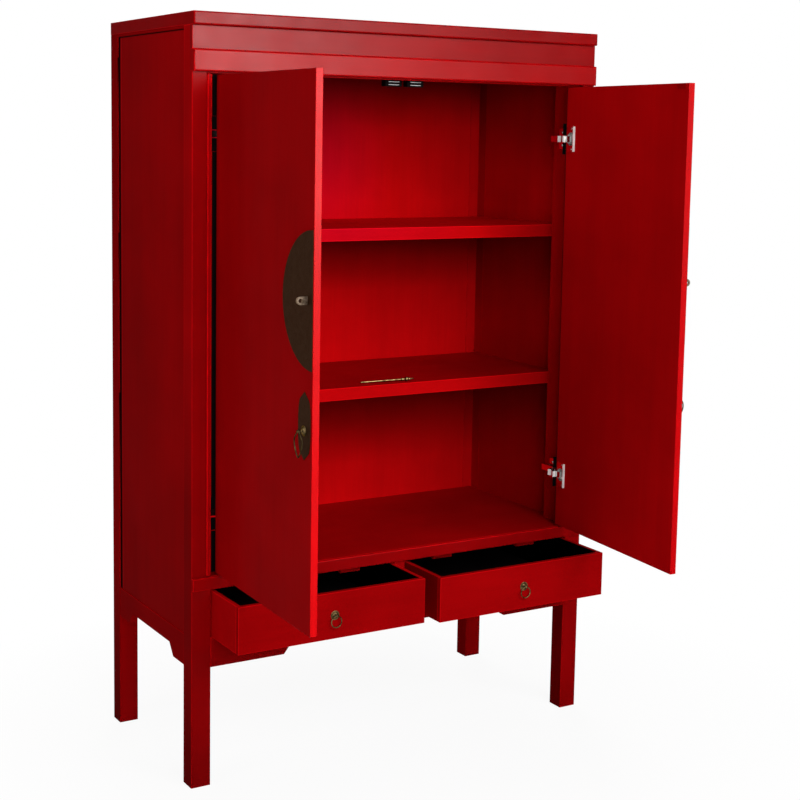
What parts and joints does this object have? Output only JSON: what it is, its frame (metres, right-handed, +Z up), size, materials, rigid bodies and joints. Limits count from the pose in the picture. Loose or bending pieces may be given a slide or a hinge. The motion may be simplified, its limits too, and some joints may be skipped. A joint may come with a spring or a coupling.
{
  "type": "chinese wedding cabinet",
  "caption": "Tall red lacquered wedding cabinet on square legs, with inset doors over drawers, shelves inside, half-moon lock plates, drop pulls and ring pulls.",
  "frame": {"origin": "on the floor, midway between the legs and in the plane of the case's front, which is the middle of the floor space taken with the doors open", "axes": "+X to the right seen from the front, +Y to the back, +Z up"},
  "size_m": [1.1, 0.9801, 1.75],
  "materials": {
    "red_lacquer": "semi-gloss red lacquer over wood, lightly rubbed at the edges",
    "black_lacquer": "satin black lacquer",
    "aged_bronze": "dark aged brass, satin",
    "rubbed_brass": "aged brass, rubbed bright where it is handled",
    "bright_steel": "bright nickel plate",
    "dark_plastic": "dark moulded plastic",
    "pole_steel": "plain steel strip",
    "red_painted_steel": "steel painted over with the door"
  },
  "bodies": {
    "case": {"front_left_leg": "red_lacquer", "front_right_leg": "red_lacquer", "back_left_leg": "red_lacquer", "back_right_leg": "red_lacquer", "top_board": "red_lacquer", "cornice_fascia": "red_lacquer", "cornice_moulding": "red_lacquer", "front_top_rail": "red_lacquer", "side_cap_strips": "red_lacquer", "left_side_panel": "red_lacquer", "right_side_panel": "red_lacquer", "back_panel": "red_lacquer", "left_side_rail": "red_lacquer", "right_side_rail": "red_lacquer", "back_bottom_rail": "red_lacquer", "floor_board": "red_lacquer", "waist_moulding": "red_lacquer", "lower_shelf": "red_lacquer", "upper_shelf": "red_lacquer", "left_hinge_batten": "red_lacquer", "right_hinge_batten": "red_lacquer", "door_beads": "red_lacquer", "front_apron": "red_lacquer", "drawer_divider": "red_lacquer", "drawer_runners": "red_lacquer", "drawer_stop_blocks": "red_lacquer", "magnetic_catches": "dark_plastic", "catch_poles": "pole_steel", "hinge_mounting_plates": "bright_steel", "hinge_arms": "bright_steel", "hinge_screws": "bright_steel"},
    "left_door": {"left_door_panel": "red_lacquer", "left_half_moon_plate": "aged_bronze", "left_hasp_eye": "rubbed_brass", "left_escutcheon": "aged_bronze", "left_pull_rosette": "rubbed_brass", "left_hinge_cups": "bright_steel", "left_strike_plate": "red_painted_steel"},
    "left_drop_pull": {"left_drop_pull": "rubbed_brass"},
    "left_hinge_links": {"left_hinge_links": "bright_steel"},
    "left_drawer": {"left_drawer_front": "red_lacquer", "left_drawer_box": "red_lacquer", "left_drawer_bottom": "black_lacquer", "left_ring_rosette": "rubbed_brass"},
    "left_ring_pull": {"left_ring_pull": "rubbed_brass"},
    "right_door": {"right_door_panel": "red_lacquer", "right_half_moon_plate": "aged_bronze", "right_hasp_eye": "rubbed_brass", "right_escutcheon": "aged_bronze", "right_pull_rosette": "rubbed_brass", "right_hinge_cups": "bright_steel", "right_strike_plate": "red_painted_steel"},
    "right_drop_pull": {"right_drop_pull": "rubbed_brass"},
    "right_hinge_links": {"right_hinge_links": "bright_steel"},
    "right_drawer": {"right_drawer_front": "red_lacquer", "right_drawer_box": "red_lacquer", "right_drawer_bottom": "black_lacquer", "right_ring_rosette": "rubbed_brass"},
    "right_ring_pull": {"right_ring_pull": "rubbed_brass"},
    "lock_pin": {"lock_pin": "rubbed_brass"}
  },
  "joints": [
    {"name": "left_door_hinge", "type": "hinge", "parent": "case", "child": "left_door", "pos_m": [-0.4911, -0.0022, 1.055], "axis": [0, 0, 1], "range_deg": [-15, 92.45]},
    {"name": "left_hinge_link_turn", "type": "hinge", "parent": "case", "child": "left_hinge_links", "pos_m": [-0.4911, -0.0022, 1.055], "axis": [0, 0, 1], "range_deg": [-7.55, 46.27]},
    {"name": "left_drop_pull_swing", "type": "hinge", "parent": "left_door", "child": "left_drop_pull", "pos_m": [-0.52198, -0.45489, 0.9085], "axis": [0.0427, 0.9991, 0], "range_deg": [-10, 190]},
    {"name": "left_drawer_slide", "type": "slide", "parent": "case", "child": "left_drawer", "axis": [0, -1, 0], "range_m": [-0.1405, 0.29]},
    {"name": "left_ring_swing", "type": "hinge", "parent": "left_drawer", "child": "left_ring_pull", "pos_m": [-0.258, -0.1485, 0.4055], "axis": [-1, 0, 0], "range_deg": [-12, 192]},
    {"name": "right_door_hinge", "type": "hinge", "parent": "case", "child": "right_door", "pos_m": [0.4911, -0.0022, 1.055], "axis": [0, 0, 1], "range_deg": [-84.75, 22]},
    {"name": "right_hinge_link_turn", "type": "hinge", "parent": "case", "child": "right_hinge_links", "pos_m": [0.4911, -0.0022, 1.055], "axis": [0, 0, 1], "range_deg": [-42.42, 11.05]},
    {"name": "right_drop_pull_swing", "type": "hinge", "parent": "right_door", "child": "right_drop_pull", "pos_m": [0.46105, -0.45495, 0.9085], "axis": [-0.0915, -0.9958, 0], "range_deg": [-10, 190]},
    {"name": "right_drawer_slide", "type": "slide", "parent": "case", "child": "right_drawer", "axis": [0, -1, 0], "range_m": [-0.1572, 0.2733]},
    {"name": "right_ring_swing", "type": "hinge", "parent": "right_drawer", "child": "right_ring_pull", "pos_m": [0.258, -0.1652, 0.4055], "axis": [-1, 0, 0], "range_deg": [-12, 192]},
    {"name": "lock_pin_lift", "type": "slide", "parent": "case", "child": "lock_pin", "axis": [0, 0, 1], "range_m": [0, 0.12]}
  ],
  "couplings": [
    {"joint": "left_hinge_link_turn", "follows": "left_door_hinge", "ratio": 0.5},
    {"joint": "right_hinge_link_turn", "follows": "right_door_hinge", "ratio": 0.5}
  ]
}
